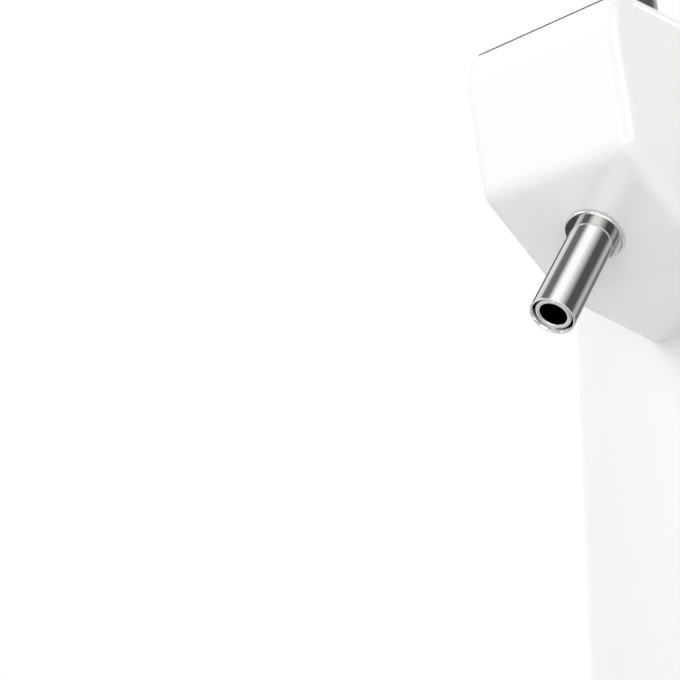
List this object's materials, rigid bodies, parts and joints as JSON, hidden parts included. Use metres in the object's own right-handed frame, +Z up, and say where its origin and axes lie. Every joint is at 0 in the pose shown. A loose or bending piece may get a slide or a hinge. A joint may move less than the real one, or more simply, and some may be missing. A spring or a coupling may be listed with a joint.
{
  "type": "mini keg beer dispenser",
  "caption": "Worktop cooler and tap for a mini keg, with a hinged lid, a tilted steel spout, a pull lever and a removable drip tray.",
  "frame": {"origin": "on the worktop, at the centre of the bounding box's base", "axes": "+Z up, -Y towards the tap and the user, +X to the user's right"},
  "size_m": [0.23, 0.43, 0.4552],
  "materials": {
    "white_housing": "gloss",
    "dark_plastic": "fine texture",
    "polished_steel": "polished",
    "brushed_steel": "brushed",
    "black_rubber": "matt",
    "foam": "closed cell foam",
    "liner_metal": "satin",
    "keg_paint": "satin lacquer over tinplate",
    "clear_hose": "silicone",
    "green_board": "circuit board",
    "grey_plastic": "satin",
    "green_lens": "clear tint"
  },
  "bodies": {
    "root": {"base_pan": "white_housing", "tray_shelf": "white_housing", "tray_rails": "white_housing", "rubber_feet": "black_rubber", "outer_shell": "white_housing", "rear_cover": "white_housing", "rear_cover_screws": "brushed_steel", "top_deck": "white_housing", "lid_hinge_pins": "brushed_steel", "chamber_liner": "liner_metal", "insulation_jacket": "foam", "mini_keg": "keg_paint", "keg_bung": "black_rubber", "keg_coupler": "grey_plastic", "dip_tube": "brushed_steel", "beer_line": "clear_hose", "gas_hose": "clear_hose", "cartridge_holder": "liner_metal", "gas_cartridge": "brushed_steel", "regulator_body": "liner_metal", "cold_block": "liner_metal", "peltier_module": "white_housing", "heat_sink": "liner_metal", "fan_frame": "dark_plastic", "power_board": "green_board", "power_inlet": "dark_plastic", "switch_frame": "dark_plastic", "dial_plate": "dark_plastic", "indicator_lens": "green_lens", "head_shell": "white_housing", "head_cap": "white_housing", "spout_tube": "polished_steel", "spout_sleeve": "polished_steel", "spout_flange": "polished_steel", "tap_body": "brushed_steel", "tap_bonnet": "brushed_steel", "lever_pin": "brushed_steel", "stem_seal": "black_rubber", "valve_spring": "brushed_steel"},
    "lever": {"tap_lever": "brushed_steel", "link_pin": "brushed_steel", "lever_grip": "dark_plastic"},
    "valve": {"valve_stem": "brushed_steel", "valve_washer": "black_rubber"},
    "lid": {"lid": "white_housing", "lid_liner": "grey_plastic", "lid_seal": "black_rubber"},
    "tray": {"drip_tray": "dark_plastic"},
    "grille": {"drip_grille": "brushed_steel"},
    "temperature_dial": {"temperature_knob": "dark_plastic"},
    "gas_dial": {"pressure_knob": "dark_plastic"},
    "rocker": {"power_switch": "dark_plastic"},
    "fan": {"fan_rotor": "dark_plastic"},
    "gas_cap": {"cartridge_cap": "dark_plastic"}
  },
  "joints": [
    {"name": "lever_pull", "type": "hinge", "parent": "root", "child": "lever", "pos_m": [0, -0.11739, 0.34556], "axis": [1, 0, 0], "range_deg": [0, 38], "stiffness_Nm_per_rad": 0.6, "springref_deg": -11.46},
    {"name": "valve_lift", "type": "slide", "parent": "root", "child": "valve", "axis": [0, 0.5736, 0.8192], "range_m": [0, 0.0059], "deforming": ["valve_spring"]},
    {"name": "lid_hinge", "type": "hinge", "parent": "root", "child": "lid", "pos_m": [0, 0.15, 0.347], "axis": [-1, 0, 0], "range_deg": [0, 92]},
    {"name": "drip_tray_slide", "type": "slide", "parent": "root", "child": "tray", "axis": [0, -1, 0], "range_m": [0, 0.12]},
    {"name": "drip_grille_lift", "type": "slide", "parent": "tray", "child": "grille", "axis": [0, 0, 1], "range_m": [0, 0.06]},
    {"name": "temperature_turn", "type": "hinge", "parent": "root", "child": "temperature_dial", "pos_m": [0, 0.032, 0.236], "axis": [0.6157, -0.788, 0], "range_deg": [0, 270]},
    {"name": "pressure_turn", "type": "hinge", "parent": "root", "child": "gas_dial", "pos_m": [-0.066, 0.205, 0.232], "axis": [0, 1, 0], "range_deg": [0, 300]},
    {"name": "power_rock", "type": "hinge", "parent": "root", "child": "rocker", "pos_m": [0.05, 0.205, 0.076], "axis": [1, 0, 0], "range_deg": [0, 16]},
    {"name": "fan_spin", "type": "hinge", "parent": "root", "child": "fan", "pos_m": [0, 0.19, 0.2], "axis": [0, 1, 0], "continuous": true},
    {"name": "gas_cap_lift", "type": "slide", "parent": "root", "child": "gas_cap", "axis": [0, 0, 1], "range_m": [0, 0.012]}
  ],
  "couplings": [
    {"joint": "valve_lift", "follows": "lever_pull", "m_per_rad": 0.008836}
  ]
}
